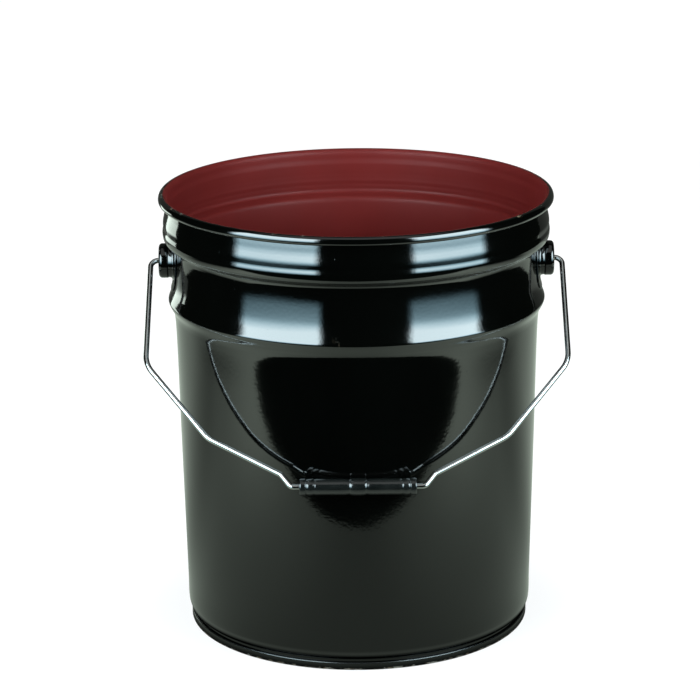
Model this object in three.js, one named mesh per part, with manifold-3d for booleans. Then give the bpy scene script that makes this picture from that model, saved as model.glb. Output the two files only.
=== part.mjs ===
// Open-head steel pail with a swinging wire bail, for paint and coatings (about 19 litres).
//
// Millimetres, +Z up. The origin is the centre of the base, on the floor.
// +X goes through the right-hand ear; the bail rests against the front of the pail, at -Y.
//
// Pieces:
//   pail_body       rolled and seam-welded sheet steel: curl, two swages, nesting taper, seam hook
//   bottom_end      stamped disc, double-seamed onto the body; its seam ring is the foot
//   seam_compound   sealing ring poured into the end's curl, under the body hook
//   body_lining     baked coating on the inside of the body
//   bottom_lining   baked coating on the inside of the bottom end
//   left_ear, right_ear   drawn steel cups with a welded flange, which hold the ends of the bail
//   bail_wire       one bent wire with an upset head on each end, inside the ears
//   bail_grip       moulded sleeve that turns on the wire
import * as THREE from "three";
import { mergeVertices } from "three/addons/utils/BufferGeometryUtils.js";
import Module from "manifold-3d";

const wasm = await Module();
wasm.setup();

// ---------------------------------------------------------------- driving dimensions
const HEIGHT = 340; // floor to the top of the curl
const RIM_R = 150.8; // outside of the curl
const SHEET = 0.5; // steel of the body and of the end
const CURL_R = 2.8; // outside radius of the rolled edge
const BAND_R = 147.1; // outside of the band under the curl
const NECK_R = 138.7; // outside of the neck between the swages
const BEAD_R = 144.6; // outside of the nesting bead
const TOP_BODY_R = 139.0; // outside of the tapered body at its top
const LOW_BODY_R = 134.2; // outside of the tapered body at its foot
const SEAM_R = 131.9; // outside of the double seam
const SEAM_H = 6.1; // height of the double seam
const SEAM_GAP = 0.15; // between two layers of the seam
const LINING_GAP = 0.2; // steel to coating
const LINING = 0.2; // thickness that stands for the coating
const SEGMENTS = 36; // facets round the pail

const PIVOT_Z = 285.4; // height of the bail's axis
const CUP_R = 13.3; // ear cup
const CUP_FACE_X = 151.4; // outer face of the cup
const CUP_WALL = 0.95;
const COLLAR_R = 12.95; // root of the cup, next to the flange
const COLLAR_X = 143.9; // where the root ends and the cup starts
const EAR_HOLE_R = 2.5;
const FLANGE_T = 0.9;
const FLANGE_HALF_Y = 25;
const FLANGE_LOW_Z = 265.6;
const FLANGE_TOP_Z = 300.6;

const WIRE_R = 2.08;
const HEAD_R = 4.3; // upset head on each end of the wire
const HEAD_T = 2.2;
const HEAD_X = 149.9; // outer side of the head, just inside the cup's face
const ARM_X = 159.1; // widest point of the bail
const REST_ANGLE = THREE.MathUtils.degToRad(46.77); // bail plane, forwards from straight down
const BAIL_LENGTH = 197.8; // pivot axis to the middle of the grip

const GRIP_LENGTH = 86.4;
const GRIP_R = 5.95; // middle of each waisted length
const GRIP_END_R = 6.35; // end collars
const GRIP_BAND_R = 6.4; // raised band at the middle
const GRIP_BORE_R = 2.5;

// ---------------------------------------------------------------- helpers
const enamel = (name) =>
  new THREE.MeshStandardMaterial({ name, color: 0x0d0f0e, roughness: 0.12, metalness: 0.0 });
const lining = (name) =>
  new THREE.MeshStandardMaterial({ name, color: 0x63231f, roughness: 0.38, metalness: 0.0 });
const galvanised = new THREE.MeshStandardMaterial({ name: "galvanised", color: 0xb9bdbb, roughness: 0.34, metalness: 1.0 });
const moulded = new THREE.MeshStandardMaterial({ name: "moulded", color: 0x0b0c0c, roughness: 0.35, metalness: 0.0 });
const compound = new THREE.MeshStandardMaterial({ name: "compound", color: 0x3c3b36, roughness: 0.8, metalness: 0.0 });

// A closed geometry as a manifold-3d solid.
function solid(geometry) {
  const g = geometry.index ? geometry.toNonIndexed() : geometry.clone();
  for (const key of Object.keys(g.attributes)) if (key !== "position") g.deleteAttribute(key);
  const merged = mergeVertices(g, 1e-3);
  const index = merged.index.array;
  const kept = [];
  for (let i = 0; i < index.length; i += 3) {
    const [a, b, c] = [index[i], index[i + 1], index[i + 2]];
    if (a !== b && b !== c && c !== a) kept.push(a, b, c);
  }
  return new wasm.Manifold(
    new wasm.Mesh({
      numProp: 3,
      vertProperties: new Float32Array(merged.attributes.position.array),
      triVerts: new Uint32Array(kept),
    }),
  );
}

// A manifold-3d solid as a geometry.
function geometryOf(s) {
  const m = s.getMesh();
  const position = new Float32Array(m.numVert * 3);
  for (let i = 0; i < m.numVert; i++)
    position.set(m.vertProperties.subarray(i * m.numProp, i * m.numProp + 3), i * 3);
  const g = new THREE.BufferGeometry();
  g.setAttribute("position", new THREE.BufferAttribute(position, 3));
  g.setIndex(new THREE.BufferAttribute(new Uint32Array(m.triVerts), 1));
  g.computeVertexNormals();
  return g;
}

// Points [r, z] turned about +Z; the profile runs anticlockwise with r to the right and z up.
function revolve(points, segments = SEGMENTS) {
  const loop = points.map(([r, z]) => new THREE.Vector2(r, z));
  const first = loop[0], last = loop[loop.length - 1];
  if (first.x > 1e-9 || last.x > 1e-9) loop.push(first.clone());
  return new THREE.LatheGeometry(loop, segments).rotateX(Math.PI / 2);
}

// A polyline moved sideways by d; a positive d is to the left of its direction.
function offset(line, d) {
  return line.map(([r, z], i) => {
    const a = line[Math.max(i - 1, 0)], b = line[Math.min(i + 1, line.length - 1)];
    const u = [r - a[0], z - a[1]], v = [b[0] - r, b[1] - z];
    const lu = Math.hypot(...u) || 1, lv = Math.hypot(...v) || 1;
    const n1 = i === 0 ? [-v[1] / lv, v[0] / lv] : [-u[1] / lu, u[0] / lu];
    const n2 = i === line.length - 1 ? n1 : [-v[1] / lv, v[0] / lv];
    const m = [n1[0] + n2[0], n1[1] + n2[1]];
    const k = d / Math.max(0.35, (m[0] * n1[0] + m[1] * n1[1]));
    return [r + m[0] * k, z + m[1] * k];
  });
}

// A sheet of even thickness t about a centre line, as a closed profile.
function sheet(centre, t) {
  const left = offset(centre, t / 2), right = offset(centre, -t / 2);
  return [...left, ...right.reverse()];
}

function anticlockwise(points) {
  let area = 0;
  points.forEach(([r, z], i) => {
    const [r2, z2] = points[(i + 1) % points.length];
    area += r * z2 - r2 * z;
  });
  return area > 0 ? points : [...points].reverse();
}

const piece = (name, geometry, material) => {
  const mesh = new THREE.Mesh(geometry, material);
  mesh.name = name;
  return mesh;
};

// ---------------------------------------------------------------- the body's centre line, from the curl to the hook
const H = SHEET / 2;
const curlCentre = [RIM_R - CURL_R, HEIGHT - CURL_R];
const curlLine = CURL_R - H / Math.cos(Math.PI / 8); // so that its corners reach the curl's outside
const onCurl = (deg) => [
  curlCentre[0] + curlLine * Math.cos(THREE.MathUtils.degToRad(deg)),
  curlCentre[1] + curlLine * Math.sin(THREE.MathUtils.degToRad(deg)),
];

// The double seam, layer by layer from the inside out.
const layer = (i) => SEAM_R - H - (4 - i) * (SHEET + SEAM_GAP);
const CHUCK_R = layer(0), WALL_R = layer(1), END_HOOK_R = layer(2), BODY_HOOK_R = layer(3), SEAM_WALL_R = layer(4);

const wallLine = [
  [curlCentre[0] - curlLine - 0.0, curlCentre[1] - 2.4],
  [RIM_R - 4.75, HEIGHT - 7.2],
  [BAND_R - H, HEIGHT - 10],
  [BAND_R - H + 0.05, 312.4],
  [BAND_R - H + 0.25, 310.0],
  [BAND_R - H - 0.35, 308.5],
  [BAND_R - H - 2.2, 307.2],
  [NECK_R + 1.6, 303.6],
  [NECK_R + 0.2, 300.6],
  [NECK_R - H, 297.0],
  [NECK_R - H, 286.5],
  [NECK_R - H + 0.55, 279.5],
  [NECK_R - H + 2.15, 271.2],
  [BEAD_R - H - 1.0, 263.6],
  [BEAD_R - H, 260.0],
  [BEAD_R - H - 0.35, 256.6],
  [BEAD_R - H - 2.0, 252.4],
  [TOP_BODY_R - H + 1.35, 248.2],
  [TOP_BODY_R - H + 0.55, 240.5],
  [TOP_BODY_R - H - 0.1, 226.0],
  [LOW_BODY_R - H, 28.0],
  [LOW_BODY_R - H - 0.4, 20.0],
  [LOW_BODY_R - H - 1.45, 15.6],
  [WALL_R + 1.05, 12.5],
  [WALL_R + 0.1, 10.6],
  [WALL_R, 9.0],
];
const hookLine = [
  [WALL_R, 2.0],
  [WALL_R + 0.19, 1.54],
  [(WALL_R + BODY_HOOK_R) / 2, 1.35],
  [BODY_HOOK_R - 0.19, 1.54],
  [BODY_HOOK_R, 2.0],
  [BODY_HOOK_R, 4.9],
];
const curlArc = [-115, -58, 0, 45, 90, 135, 180].map(onCurl);
const bodyLine = [...curlArc, ...wallLine, ...hookLine];

// ---------------------------------------------------------------- the bottom end's centre line, from its middle to its hook
const PANEL_Z = 10.2;
const endLine = [
  [0, PANEL_Z],
  [100.4, PANEL_Z],
  [103.6, 8.8],
  [123.6, 8.8],
  [125.4, 9.5],
  [126.6, 10.5],
  [127.9, 10.4],
  [CHUCK_R, 9.0],
  [CHUCK_R, 0.85],
  [CHUCK_R + 0.5, H],
  [SEAM_WALL_R - 0.5, H],
  [SEAM_WALL_R, 0.85],
  [SEAM_WALL_R, SEAM_H - 0.8],
  [SEAM_WALL_R - 0.3, SEAM_H - H],
  [END_HOOK_R + 0.3, SEAM_H - H],
  [END_HOOK_R, SEAM_H - 0.8],
  [END_HOOK_R, 2.3],
];

// ---------------------------------------------------------------- coatings, on the inside of the steel
// The body's coating runs from the inner side of the curl to the bottom end.
const liningSide = [onCurl(135), onCurl(180), ...wallLine.slice(0, 24)];
const coarse = [4, 13, 15, 21]; // points of the wall that the coating's plain profile can skip
const inner = offset(liningSide, -(H + LINING_GAP)).filter((_, i) => !coarse.includes(i - 2));
const innermost = offset(liningSide, -(H + LINING_GAP + LINING)).filter((_, i) => !coarse.includes(i - 2));
const bodyLiningProfile = [...inner, ...innermost.reverse()];
const endTop = [
  [0, PANEL_Z],
  [100.4, PANEL_Z],
  [103.6, 8.8],
  [123.6, 8.8],
  [125.4, 9.5],
  [126.6, 10.5],
  [127.6, 10.55],
];
const bottomLiningProfile = [
  ...offset(endTop, H + LINING_GAP),
  ...offset(endTop, H + LINING_GAP + LINING).reverse(),
];
bottomLiningProfile[0][0] = 0;
bottomLiningProfile[bottomLiningProfile.length - 1][0] = 0;

// ---------------------------------------------------------------- ears
// What the ear must stay outside of: the pail's wall with a gap of 0.3.
const neckPart = bodyLine.filter(([r, z]) => z > 240 && z < 313 && r < BAND_R + 1);
const wallOutside = (d) => offset(neckPart, d);
const EAR_GAP = 0.3;
function roundedPlate() {
  const s = new THREE.Shape();
  const y0 = -FLANGE_HALF_Y, y1 = FLANGE_HALF_Y, z0 = FLANGE_LOW_Z, z1 = FLANGE_TOP_Z, c = 9;
  s.moveTo(y0 + c, z0);
  s.lineTo(y1 - c, z0);
  s.absarc(y1 - c, z0 + c, c, -Math.PI / 2, 0, false);
  s.lineTo(y1, z1 - c);
  s.absarc(y1 - c, z1 - c, c, 0, Math.PI / 2, false);
  s.lineTo(y0 + c, z1);
  s.absarc(y0 + c, z1 - c, c, Math.PI / 2, Math.PI, false);
  s.lineTo(y0, z0 + c);
  s.absarc(y0 + c, z0 + c, c, Math.PI, Math.PI * 1.5, false);
  // extruded along local z, then stood up so that it runs along +X
  return new THREE.ExtrudeGeometry(s, { depth: 60, bevelEnabled: false, curveSegments: 4 })
    .applyMatrix4(new THREE.Matrix4().makeBasis(
      new THREE.Vector3(0, 1, 0), new THREE.Vector3(0, 0, 1), new THREE.Vector3(1, 0, 0)))
    .translate(105, 0, 0);
}
// A profile [radius, x] turned about the bail's axis.
function aboutPivot(points, segments) {
  return new THREE.LatheGeometry(points.map(([r, x]) => new THREE.Vector2(r, x)), segments)
    .rotateZ(-Math.PI / 2)
    .translate(0, 0, PIVOT_Z);
}
function rightEar() {
  const shellLoop = [...wallOutside(H + EAR_GAP), ...wallOutside(H + EAR_GAP + FLANGE_T).reverse()];
  const flange = solid(revolve(anticlockwise(shellLoop))).intersect(solid(roundedPlate()));
  const cup = solid(aboutPivot([
    [0, 128],
    [COLLAR_R, 128],
    [COLLAR_R, COLLAR_X],
    [CUP_R, COLLAR_X + 0.5],
    [CUP_R, CUP_FACE_X - 2.0],
    [CUP_R - 0.6, CUP_FACE_X - 0.6],
    [CUP_R - 2.0, CUP_FACE_X],
    [0, CUP_FACE_X],
  ], 28));
  const hollow = solid(aboutPivot([
    [0, 126],
    [COLLAR_R - CUP_WALL, 126],
    [COLLAR_R - CUP_WALL, CUP_FACE_X - 2.4],
    [COLLAR_R - CUP_WALL - 1.4, CUP_FACE_X - CUP_WALL],
    [0, CUP_FACE_X - CUP_WALL],
  ], 28));
  const hole = solid(aboutPivot([
    [0, 140],
    [EAR_HOLE_R, 140],
    [EAR_HOLE_R, 160],
    [0, 160],
  ], 20));
  const edge = wallOutside(H + EAR_GAP);
  const core = solid(revolve(anticlockwise([[0, edge[edge.length - 1][1]], ...[...edge].reverse(), [0, edge[0][1]]])));
  return flange.add(cup).subtract(core).subtract(hollow).subtract(hole);
}

// ---------------------------------------------------------------- bail
// Straight runs joined by arcs, in the bail's plane: x across, s from the pivot axis to the grip.
const corners = [
  { p: [HEAD_X - HEAD_T, 0], r: 0 },
  { p: [157.6, 0], r: 6 },
  { p: [ARM_X, 92.2], r: 24 },
  { p: [111.3, 156.3], r: 24 },
  { p: [56.6, 187.6], r: 4.5 },
  { p: [49.3, BAIL_LENGTH], r: 4.5 },
  { p: [0, BAIL_LENGTH], r: 0 },
];
function bailStations() {
  const half = [];
  corners.forEach(({ p, r }, i) => {
    if (!r) { half.push(p); return; }
    const a = corners[i - 1].p, b = corners[i + 1].p;
    const u = [a[0] - p[0], a[1] - p[1]], v = [b[0] - p[0], b[1] - p[1]];
    const lu = Math.hypot(...u), lv = Math.hypot(...v);
    const turn = Math.PI - Math.acos((u[0] * v[0] + u[1] * v[1]) / (lu * lv));
    const t = r * Math.tan(turn / 2);
    const p0 = [p[0] + (u[0] / lu) * t, p[1] + (u[1] / lu) * t];
    const p1 = [p[0] + (v[0] / lv) * t, p[1] + (v[1] / lv) * t];
    const mid = [(p0[0] + p1[0]) / 2 - p[0], (p0[1] + p1[1]) / 2 - p[1]];
    const lm = Math.hypot(...mid), far = r / Math.cos(turn / 2);
    const c = [p[0] + (mid[0] / lm) * far, p[1] + (mid[1] / lm) * far];
    const a0 = Math.atan2(p0[1] - c[1], p0[0] - c[0]);
    let da = Math.atan2(p1[1] - c[1], p1[0] - c[0]) - a0;
    if (da > Math.PI) da -= 2 * Math.PI;
    if (da < -Math.PI) da += 2 * Math.PI;
    const n = Math.max(2, Math.ceil(Math.abs(da) / 0.42));
    for (let k = 0; k <= n; k++) {
      const w = a0 + (da * k) / n;
      half.push([c[0] + r * Math.cos(w), c[1] + r * Math.sin(w)]);
    }
  });
  const other = half.slice(0, -1).map(([x, s]) => [-x, s]).reverse();
  return [...half, ...other];
}
// The bail hangs forwards, towards -Y.
const inBailPlane = ([x, s]) =>
  new THREE.Vector3(x, -s * Math.sin(REST_ANGLE), PIVOT_Z - s * Math.cos(REST_ANGLE));
class BentWire extends THREE.Curve {
  constructor(points) {
    super();
    this.points = points;
  }
  getPoint(t) {
    const f = t * (this.points.length - 1), i = Math.min(Math.floor(f), this.points.length - 2);
    return new THREE.Vector3().lerpVectors(this.points[i], this.points[i + 1], f - i);
  }
  getPointAt(u) {
    return this.getPoint(u);
  }
  getTangentAt(u) {
    const n = this.points.length - 1, i = Math.round(u * n);
    const a = this.points[Math.max(i - 1, 0)], b = this.points[Math.min(i + 1, n)], p = this.points[i];
    const t = new THREE.Vector3();
    if (i > 0) t.add(new THREE.Vector3().subVectors(p, a).normalize());
    if (i < n) t.add(new THREE.Vector3().subVectors(b, p).normalize());
    return t.normalize();
  }
}
function bailWire() {
  const points = bailStations().map(inBailPlane);
  const section = new THREE.Shape();
  section.absarc(0, 0, WIRE_R, 0, Math.PI * 2, false);
  const tube = solid(new THREE.ExtrudeGeometry(section, {
    steps: points.length - 1,
    curveSegments: 8,
    extrudePath: new BentWire(points),
  }));
  const headProfile = [
    [0, HEAD_X - HEAD_T],
    [HEAD_R - 0.5, HEAD_X - HEAD_T],
    [HEAD_R, HEAD_X - HEAD_T + 0.5],
    [HEAD_R, HEAD_X - 0.5],
    [WIRE_R + 0.6, HEAD_X],
    [0, HEAD_X],
  ];
  const right = solid(aboutPivot(headProfile, 16));
  const left = solid(aboutPivot(headProfile, 16).rotateZ(Math.PI));
  return tube.add(right).add(left);
}

// ---------------------------------------------------------------- grip
function gripGeometry() {
  const L = GRIP_LENGTH / 2;
  const half = [
    [GRIP_BAND_R, 0],
    [GRIP_BAND_R, 5.0],
    [GRIP_BAND_R - 0.35, 5.7],
    [GRIP_R, 8.0],
    [GRIP_R, 32.0],
    [GRIP_R + 0.12, L - 4.9],
    [GRIP_END_R, L - 4.1],
    [GRIP_END_R, L - 0.8],
    [GRIP_END_R - 0.8, L],
  ];
  const outside = [...half.slice(1).reverse().map(([r, x]) => [r, -x]), ...half.slice(1)];
  const profile = [[GRIP_BORE_R, -L], ...outside, [GRIP_BORE_R, L], [GRIP_BORE_R, -L]];
  return new THREE.LatheGeometry(profile.map(([r, x]) => new THREE.Vector2(r, x)), 24).rotateZ(-Math.PI / 2);
}

// ---------------------------------------------------------------- assembly
const pail = new THREE.Group();
pail.add(
  piece("pail_body", revolve(anticlockwise(sheet(bodyLine, SHEET))), enamel("body_enamel")),
  piece("bottom_end", revolve(endProfile()), enamel("end_enamel")),
  piece("seam_compound", revolve(anticlockwise([
    [CHUCK_R + 0.55, 0.62],
    [SEAM_WALL_R - 0.55, 0.62],
    [SEAM_WALL_R - 0.62, 0.98],
    [CHUCK_R + 0.62, 0.98],
  ])), compound),
  piece("body_lining", revolve(anticlockwise(bodyLiningProfile)), lining("body_lining")),
  piece("bottom_lining", revolve(startOnAxis(bottomLiningProfile)), lining("bottom_lining")),
);
function endProfile() {
  const top = offset(endLine, H), under = offset(endLine, -H).reverse();
  top[0][0] = 0;
  under[under.length - 1][0] = 0;
  return startOnAxis([...top, ...under]);
}
// A profile that starts and ends on the axis, lower end first.
function startOnAxis(points) {
  return points[0][1] < points[points.length - 1][1] ? points : [...points].reverse();
}

const ear = rightEar();
const right = piece("right_ear", geometryOf(ear), enamel("ear_enamel"));
const left = piece("left_ear", geometryOf(ear), enamel("ear_enamel"));
left.rotation.z = Math.PI;
pail.add(left, right);

const bail = new THREE.Group();
bail.add(piece("bail_wire", geometryOf(bailWire()), galvanised));
const grip = piece("bail_grip", gripGeometry(), moulded);
grip.position.copy(inBailPlane([0, BAIL_LENGTH]));
bail.add(grip);

const root = new THREE.Group();
root.name = "steel_pail";
root.add(pail, bail);
export default root;
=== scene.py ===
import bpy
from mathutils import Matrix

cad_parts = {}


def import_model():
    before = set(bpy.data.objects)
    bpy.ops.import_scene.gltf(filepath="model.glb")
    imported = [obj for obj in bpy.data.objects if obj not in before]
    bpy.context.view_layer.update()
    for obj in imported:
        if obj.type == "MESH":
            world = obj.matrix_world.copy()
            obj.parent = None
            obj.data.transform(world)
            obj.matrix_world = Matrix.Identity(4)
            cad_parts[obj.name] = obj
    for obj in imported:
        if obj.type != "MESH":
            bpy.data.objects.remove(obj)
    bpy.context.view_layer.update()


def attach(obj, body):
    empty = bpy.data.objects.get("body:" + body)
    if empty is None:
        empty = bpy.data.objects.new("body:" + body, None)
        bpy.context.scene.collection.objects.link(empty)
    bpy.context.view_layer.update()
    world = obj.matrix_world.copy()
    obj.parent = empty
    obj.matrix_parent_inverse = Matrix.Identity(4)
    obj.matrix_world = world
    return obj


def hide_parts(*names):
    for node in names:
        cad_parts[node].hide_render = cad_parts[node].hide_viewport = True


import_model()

import math

import bpy
import numpy as np
from mathutils import Matrix, Vector

MM = 0.001
DEG = math.pi / 180


# ------------------------------------------------------------------ camera
def make_camera():
    data = bpy.data.cameras.new("photo_view")
    data.sensor_width = 36.0
    data.lens = 156.43
    data.shift_x = -0.0101
    cam = bpy.data.objects.new("photo_view", data)
    bpy.context.scene.collection.objects.link(cam)
    cam.matrix_world = (
        Matrix.Translation((0.0, -2.26154, 0.8695))
        @ Matrix.Rotation(math.pi / 2 - 16.196 * DEG, 4, "X")
        @ Matrix.Rotation(-0.45 * DEG, 4, "Z")
    )
    data.clip_start, data.clip_end = 0.05, 60
    bpy.context.scene.camera = cam
    return cam


make_camera()
bpy.context.scene.view_settings.view_transform = "Standard"
bpy.context.scene.view_settings.look = "None"

# ------------------------------------------------------------------ dimensions, mm, as the frame's
HEIGHT, RIM_R, CURL_R, SHEET = 340.0, 150.8, 2.8, 0.5
BAND_R, NECK_R, BEAD_R = 147.1, 138.7, 144.6
TOP_BODY_R, LOW_BODY_R = 139.0, 134.2
SEAM_R, SEAM_H, SEAM_GAP = 131.9, 6.1, 0.15
PIVOT_Z = 285.4
CUP_R, CUP_FACE_X, CUP_WALL, COLLAR_R, COLLAR_X = 13.3, 151.4, 0.95, 12.95, 143.9
EAR_HOLE_R = 2.5
WIRE_R, HEAD_R, HEAD_T, HEAD_X = 2.07, 4.3, 2.2, 149.9
ARM_X, REST, BAIL_LENGTH = 159.1, 46.77 * DEG, 197.8
GRIP_LENGTH, GRIP_BORE_R = 86.4, 2.5
H = SHEET / 2


# ------------------------------------------------------------------ mesh helpers
def add_mesh(name, verts, faces, smooth=True):
    me = bpy.data.meshes.new(name)
    me.from_pydata([tuple(v) for v in (np.asarray(verts, float) * MM)], [], [tuple(int(i) for i in f) for f in faces])
    me.validate()
    me.update()
    if smooth:
        me.shade_smooth()
    ob = bpy.data.objects.new(name, me)
    bpy.context.scene.collection.objects.link(ob)
    return ob


def catmull(points, step=0.5):
    """A smooth line through the points (centripetal), sampled about every step."""
    P = np.array(points, float)
    P = np.vstack([2 * P[0] - P[1], P, 2 * P[-1] - P[-2]])
    out = []
    for i in range(1, len(P) - 2):
        p0, p1, p2, p3 = P[i - 1], P[i], P[i + 1], P[i + 2]
        t0 = 0.0
        t1 = t0 + np.linalg.norm(p1 - p0) ** 0.5
        t2 = t1 + np.linalg.norm(p2 - p1) ** 0.5
        t3 = t2 + np.linalg.norm(p3 - p2) ** 0.5
        n = max(1, int(np.ceil(np.linalg.norm(p2 - p1) / step)))
        for k in range(n):
            t = t1 + (t2 - t1) * k / n
            a1 = (t1 - t) / (t1 - t0) * p0 + (t - t0) / (t1 - t0) * p1
            a2 = (t2 - t) / (t2 - t1) * p1 + (t - t1) / (t2 - t1) * p2
            a3 = (t3 - t) / (t3 - t2) * p2 + (t - t2) / (t3 - t2) * p3
            b1 = (t2 - t) / (t2 - t0) * a1 + (t - t0) / (t2 - t0) * a2
            b2 = (t3 - t) / (t3 - t1) * a2 + (t - t1) / (t3 - t1) * a3
            out.append((t2 - t) / (t2 - t1) * b1 + (t - t1) / (t2 - t1) * b2)
    out.append(P[-2])
    return np.array(out)


def thin(line, tol):
    """Drops the points that a straight line would pass within tol of, and keeps steps under 16 mm."""
    keep = [0]
    i = 0
    while i < len(line) - 1:
        j = i + 1
        while j + 1 < len(line):
            a, b = line[i], line[j + 1]
            d = b - a
            length = np.linalg.norm(d)
            if length > 16:
                break
            rel = line[i + 1 : j + 1] - a
            off = np.abs(rel[:, 0] * d[1] - rel[:, 1] * d[0]) / max(length, 1e-9)
            if off.max() > tol:
                break
            j += 1
        keep.append(j)
        i = j
    return line[keep]


def offset_line(line, d):
    """The line moved to its left by d."""
    line = np.asarray(line, float)
    t = np.gradient(line, axis=0)
    t /= np.linalg.norm(t, axis=1)[:, None]
    return line + np.column_stack([-t[:, 1], t[:, 0]]) * d


def arc(cx, cy, r, a0, a1, n):
    return [(cx + r * math.cos(a), cy + r * math.sin(a)) for a in np.linspace(a0 * DEG, a1 * DEG, n)]


def columns(n, seam=None):
    """Angles round the pail, with close ones beside the side seam."""
    a = [2 * math.pi * k / n for k in range(n)]
    if seam is not None:
        near = [seam + d * DEG for d in (-0.95, -0.75, -0.6, -0.45, -0.25, 0, 0.25, 0.45, 0.6, 0.75, 0.95)]
        a = [x for x in a if abs(x - seam) > 1.1 * DEG] + near
    return sorted(a)


def revolve(name, profile, angles, shape=None, axis_ends=False):
    """A closed surface from a closed profile of (r, z), or one that starts and ends on the axis."""
    prof = np.asarray(profile, float)
    area = np.sum(prof[:, 0] * np.roll(prof[:, 1], -1) - np.roll(prof[:, 0], -1) * prof[:, 1])
    if area < 0:
        prof = prof[::-1]
    m, n = len(prof), len(angles)
    verts, faces = [], []
    ring = []
    for i, (r, z) in enumerate(prof):
        if axis_ends and i in (0, m - 1):
            ring.append([len(verts)] * n)
            verts.append((0, 0, z))
            continue
        ids = []
        for a in angles:
            rr, zz = (r, z) if shape is None else shape(r, z, a, i)
            ids.append(len(verts))
            verts.append((rr * math.cos(a), rr * math.sin(a), zz))
        ring.append(ids)
    last = m - 1 if axis_ends else m
    for i in range(last):
        u, v = ring[i], ring[(i + 1) % m]
        for k in range(n):
            q = (k + 1) % n
            f = [u[k], u[q], v[q], v[k]]
            f = [x for j, x in enumerate(f) if x != f[j - 1]]
            if len(f) > 2:
                faces.append(f)
    return add_mesh(name, verts, faces)


# ------------------------------------------------------------------ the steel's centre line
def layer(i):
    return SEAM_R - H - (4 - i) * (SHEET + SEAM_GAP)


CHUCK_R, WALL_R, END_HOOK_R, BODY_HOOK_R, SEAM_WALL_R = [layer(i) for i in range(5)]
CR = CURL_R + 0.03
CURL_UP, CURL_DOWN = 3.95, 2.45  # the curl is a little drawn upwards, not a true circle
CX, CZ = RIM_R - CR - H, HEIGHT - 0.15 - CURL_UP - H


def drawn(points):
    return [(r, CZ + (z - CZ) * (CURL_UP if z > CZ else CURL_DOWN) / CR) for r, z in points]


CURL = drawn(arc(CX, CZ, CR, -112, 180, 44))
WALL = [
    (CX - CR, CZ - 0.8),
    (144.93, 333.9),
    (145.02, 333.0),
    (145.13, 332.1),
    (145.24, 331.2),
    (145.34, 330.3),
    (145.43, 329.4),
    (145.52, 328.4),
    (145.62, 327.3),
    (145.78, 326.1),
    (145.98, 324.8),
    (146.25, 323.3),
    (146.58, 321.8),
    (146.90, 320.3),
    (147.13, 318.8),
    (147.22, 317.3),
    (147.19, 315.8),
    (147.17, 314.6),
    (147.30, 313.4),
    (147.56, 312.1),
    (147.70, 310.9),
    (147.66, 309.6),
    (147.50, 308.2),
    (147.25, 306.9),
    (146.80, 305.7),
    (146.05, 304.6),
    (144.95, 303.65),
    (143.40, 302.85),
    (141.60, 302.1),
    (140.10, 301.25),
    (139.20, 300.2),
    (138.75, 298.9),
    (138.55, 297.3),
    (138.47, 295.0),
    (NECK_R - H, 292.0),
    (NECK_R - H + 0.02, 289.8),
    (NECK_R - H + 0.13, 286.8),
    (NECK_R - H + 0.45, 282.2),
    (NECK_R - H + 1.03, 276.0),
    (NECK_R - H + 1.60, 271.5),
    (NECK_R - H + 2.18, 268.5),
    (NECK_R - H + 3.00, 265.4),
    (NECK_R - H + 4.07, 262.4),
    (NECK_R - H + 4.98, 260.0),
    (NECK_R - H + 5.42, 258.9),
    (NECK_R - H + 5.72, 258.1),
    (NECK_R - H + 5.85, 257.35),
    (NECK_R - H + 5.76, 256.6),
    (NECK_R - H + 5.40, 255.6),
    (NECK_R - H + 4.72, 254.2),
    (BEAD_R - H - 2.25, 252.4),
    (TOP_BODY_R - H + 1.95, 249.6),
    (TOP_BODY_R - H + 1.15, 246.4),
    (TOP_BODY_R - H + 0.62, 241.5),
    (TOP_BODY_R - H + 0.25, 235.0),
    (TOP_BODY_R - H - 0.12, 225.0),
    (138.30 - H, 203.0),
    (137.45 - H, 160.0),
    (136.55 - H, 122.0),
    (135.55 - H, 82.0),
    (134.75 - H, 50.0),
    (LOW_BODY_R - H + 0.08, 30.0),
    (LOW_BODY_R - H + 0.06, 22.0),
    (LOW_BODY_R - H - 0.06, 18.0),
    (LOW_BODY_R - H - 0.38, 14.8),
    (LOW_BODY_R - H - 1.05, 12.4),
    (LOW_BODY_R - H - 1.95, 10.8),
    (WALL_R + 0.72, 9.5),
    (WALL_R + 0.18, 8.6),
    (WALL_R + 0.01, 7.9),
    (WALL_R, 7.2),
]
HOOK = (
    [(WALL_R, 6.0), (WALL_R, 2.0)]
    + arc((WALL_R + BODY_HOOK_R) / 2, 2.0, (BODY_HOOK_R - WALL_R) / 2, 180, 360, 9)[1:]
    + [(BODY_HOOK_R, 4.9)]
)
wall_smooth = thin(catmull([CURL[-1]] + WALL, 0.35), 0.006)
BODY_LINE = np.vstack([np.array(CURL[:-1]), wall_smooth, np.array(HOOK)])
SEAM_ANGLE = math.pi / 2  # the side seam is at the back
wall_z, wall_r = wall_smooth[::-1, 1], wall_smooth[::-1, 0]


def outer_r(z):
    """Outside radius of the wall at height z, mm."""
    return float(np.interp(z, wall_z, wall_r)) + H


def side_seam(r, z, a, i):
    """The mash weld: a low flat bead on the back, from the bottom seam to the curl."""
    d = abs(a - SEAM_ANGLE) * 138.0
    if d < 2.6 and 12 < z < 331:
        w = 0.10 * max(0.0, 1 - (d / 1.75) ** 4) if d < 1.75 else 0.0
        ripple = 0.02 * math.sin(z * 2 * math.pi / 2.2)
        return r + (w + (ripple if d < 1.2 else 0.0)) * (1 if i < OUTER_COUNT else 0.6), z
    return r, z


ANGLES = columns(288, SEAM_ANGLE)
outside, inside = offset_line(BODY_LINE, H), offset_line(BODY_LINE, -H)
body_profile = np.vstack([outside, inside[::-1]])
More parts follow.
